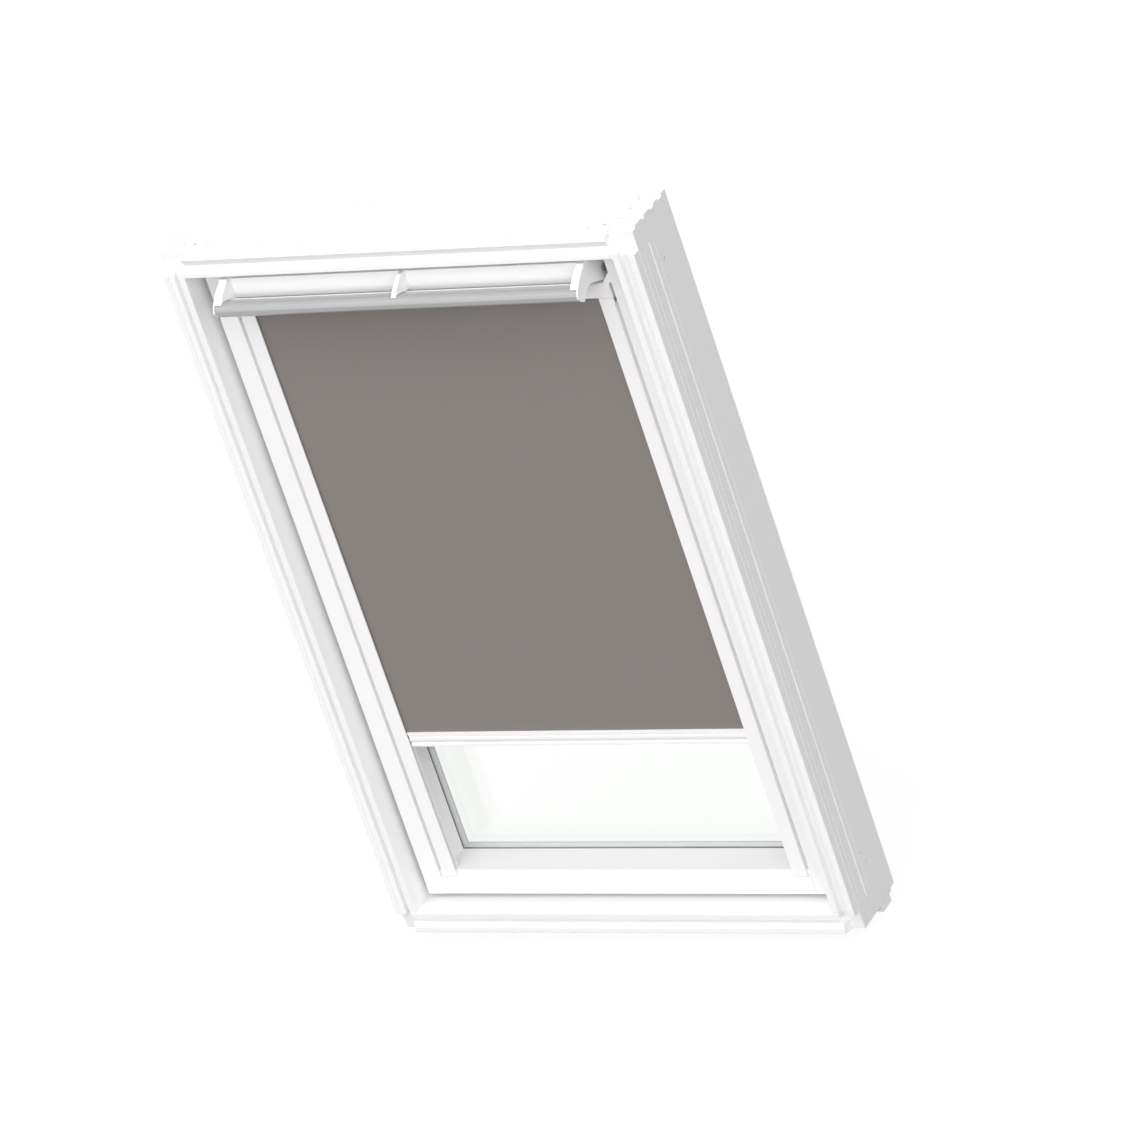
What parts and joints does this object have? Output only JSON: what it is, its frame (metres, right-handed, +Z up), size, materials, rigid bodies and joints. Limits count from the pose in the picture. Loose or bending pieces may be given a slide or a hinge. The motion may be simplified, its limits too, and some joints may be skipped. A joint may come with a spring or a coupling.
{
  "type": "skylight window blind",
  "caption": "White centre-pivot roof window with ventilation flap, control bar and a taupe blackout roller blind in side channels.",
  "frame": {"origin": "middle of the bounding box at its lowest level, under the drip strip", "axes": "+X across the window to the right seen from the room, +Y from the room to the outside, +Z up the window towards its head"},
  "size_m": [0.78, 0.1588, 1.1906],
  "materials": {
    "white_paint": "satin white lacquer on wood",
    "white_plastic": "smooth white",
    "white_aluminium": "white powder coat",
    "anodised": "satin anodised",
    "grey_plastic": "plain",
    "steel": "zinc plated",
    "dark_rubber": "matt",
    "warm_edge": "light, dull grey",
    "clear_glass": "clear float glass",
    "taupe_cloth": "matt opaque blackout cloth"
  },
  "bodies": {
    "frame": {"frame_head": "white_paint", "frame_sill": "white_paint", "frame_stile_left": "white_paint", "frame_stile_right": "white_paint", "drip_strip": "white_plastic", "pivot_plate_left": "steel", "pivot_plate_right": "steel", "pivot_screw_left_lower": "steel", "pivot_screw_left_upper": "steel", "pivot_screw_right_lower": "steel", "pivot_screw_right_upper": "steel"},
    "sash": {"sash_top_rail": "white_paint", "sash_bottom_rail": "white_paint", "sash_stile_left": "white_paint", "sash_stile_right": "white_paint", "inner_pane": "clear_glass", "outer_pane": "clear_glass", "glazing_gasket": "dark_rubber", "pane_spacer": "warm_edge", "sash_cover_top": "anodised", "sash_cover_bottom": "anodised", "sash_cover_left": "anodised", "sash_cover_right": "anodised", "sash_seal_upper": "dark_rubber", "sash_seal_lower": "dark_rubber", "pivot_bushing_left": "grey_plastic", "pivot_bushing_right": "grey_plastic", "flap_bracket_left": "grey_plastic", "flap_bracket_right": "grey_plastic", "blind_headbox": "white_aluminium", "headbox_cap_left": "white_plastic", "headbox_cap_right": "white_plastic", "headbox_clip_left": "white_plastic", "headbox_clip_right": "white_plastic", "side_channel_left": "white_aluminium", "side_channel_right": "white_aluminium", "blind_cloth": "taupe_cloth"},
    "roller": {"roller_tube": "anodised", "rolled_cloth": "taupe_cloth"},
    "flap": {"vent_flap": "white_plastic", "control_bar": "anodised", "control_bar_lip": "white_plastic", "bar_arm_left": "white_plastic", "bar_arm_middle": "white_plastic", "bar_arm_right": "white_plastic"},
    "blind_bar": {"bottom_bar": "white_aluminium", "bar_slider_left": "grey_plastic", "bar_slider_right": "grey_plastic"}
  },
  "joints": [
    {"name": "sash_pivot", "type": "hinge", "parent": "frame", "child": "sash", "pos_m": [0, 0.0292, 0.60085], "axis": [1, 0, 0], "range_deg": [0, 170]},
    {"name": "vent_flap_hinge", "type": "hinge", "parent": "sash", "child": "flap", "pos_m": [0, 0.0032, 1.1131], "axis": [1, 0, 0], "range_deg": [0, 25]},
    {"name": "blind_slide", "type": "slide", "parent": "sash", "child": "blind_bar", "axis": [0, 0, 1], "range_m": [-0.22, 0.72], "deforming": ["blind_cloth"]},
    {"name": "roller_spin", "type": "hinge", "parent": "sash", "child": "roller", "pos_m": [0, 0.0032, 1.0826], "axis": [1, 0, 0], "range_deg": [-5510, 1690]}
  ],
  "couplings": [
    {"joint": "roller_spin", "follows": "blind_slide", "rad_per_m": -133.33}
  ]
}
